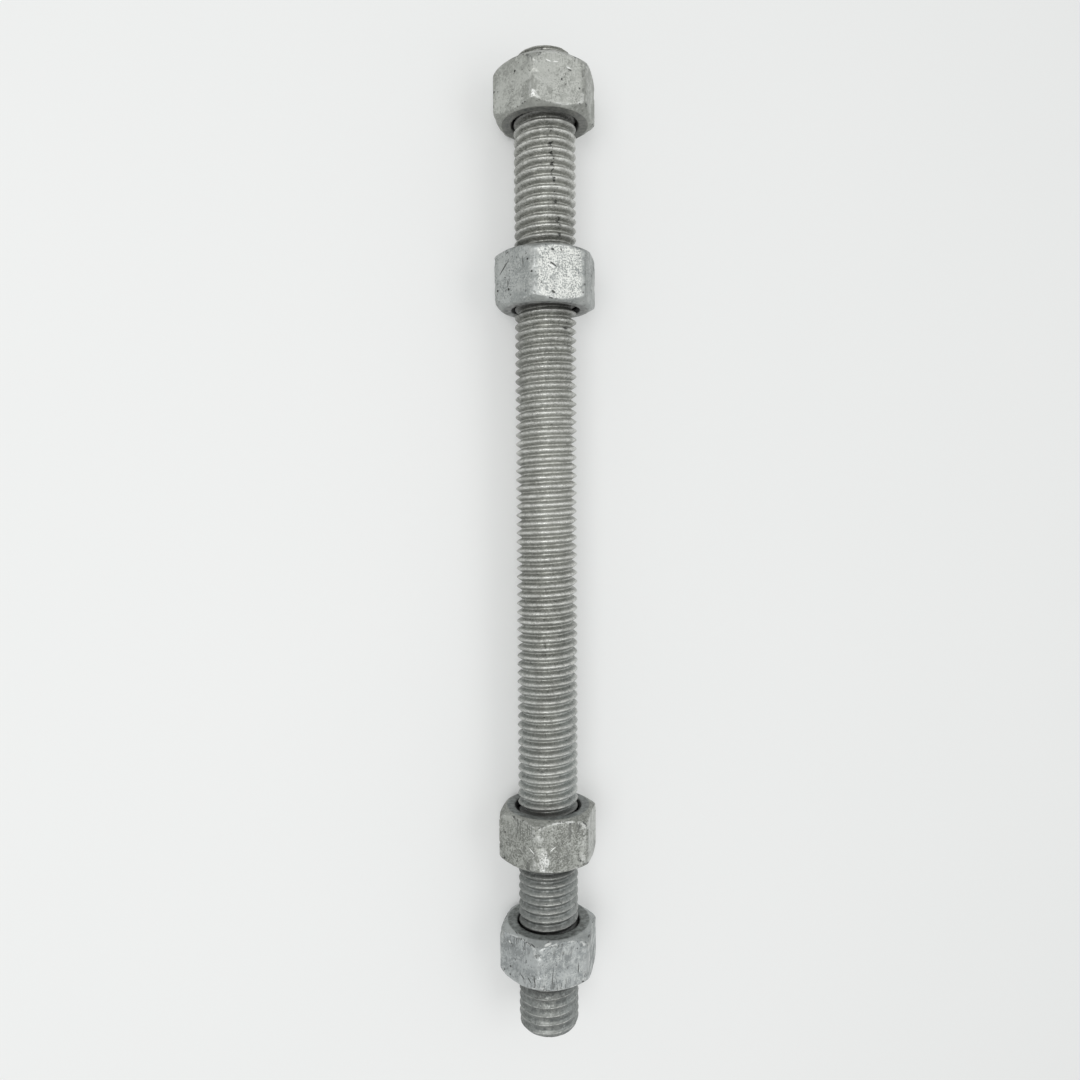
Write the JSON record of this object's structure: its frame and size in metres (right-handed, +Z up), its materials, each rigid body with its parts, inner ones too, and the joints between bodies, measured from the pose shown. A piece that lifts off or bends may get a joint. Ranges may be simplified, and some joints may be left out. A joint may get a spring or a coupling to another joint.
{
  "type": "spacer bolt",
  "caption": "Galvanised steel rod, threaded from end to end, with hexagon nuts near both ends that grip members and hold them a set distance apart.",
  "frame": {"origin": "on the rod's axis, halfway along it", "axes": "+X along the rod towards its flush end, +Z up from the surface that the nuts' flats rest on"},
  "size_m": [0.254, 0.027, 0.0238],
  "materials": {
    "rod_zinc": "hot-dip galvanised, dull grey with bright crests",
    "flush_outer_zinc": "hot-dip galvanised, speckled grey",
    "flush_inner_zinc": "hot-dip galvanised, bright and flecked",
    "long_inner_zinc": "hot-dip galvanised, rough and mottled",
    "long_outer_zinc": "hot-dip galvanised, bluish and scratched"
  },
  "bodies": {
    "rod": {"threaded_rod": "rod_zinc"},
    "flush_outer_nut": {"flush_outer_nut": "flush_outer_zinc"},
    "flush_inner_nut": {"flush_inner_nut": "flush_inner_zinc"},
    "long_inner_nut": {"long_inner_nut": "long_inner_zinc"},
    "long_outer_nut": {"long_outer_nut": "long_outer_zinc"}
  },
  "joints": [
    {"name": "flush_outer_turn", "type": "hinge", "parent": "rod", "child": "flush_outer_nut", "pos_m": [0.11685, 0, 0], "axis": [1, 0, 0], "continuous": true},
    {"name": "flush_inner_turn", "type": "hinge", "parent": "rod", "child": "flush_inner_nut", "pos_m": [0.07045, 0, 0], "axis": [1, 0, 0], "continuous": true},
    {"name": "long_inner_turn", "type": "hinge", "parent": "rod", "child": "long_inner_nut", "pos_m": [-0.07325, 0, 0], "axis": [1, 0, 0], "continuous": true},
    {"name": "long_outer_turn", "type": "hinge", "parent": "rod", "child": "long_outer_nut", "pos_m": [-0.10475, 0, 0], "axis": [1, 0, 0], "continuous": true}
  ]
}
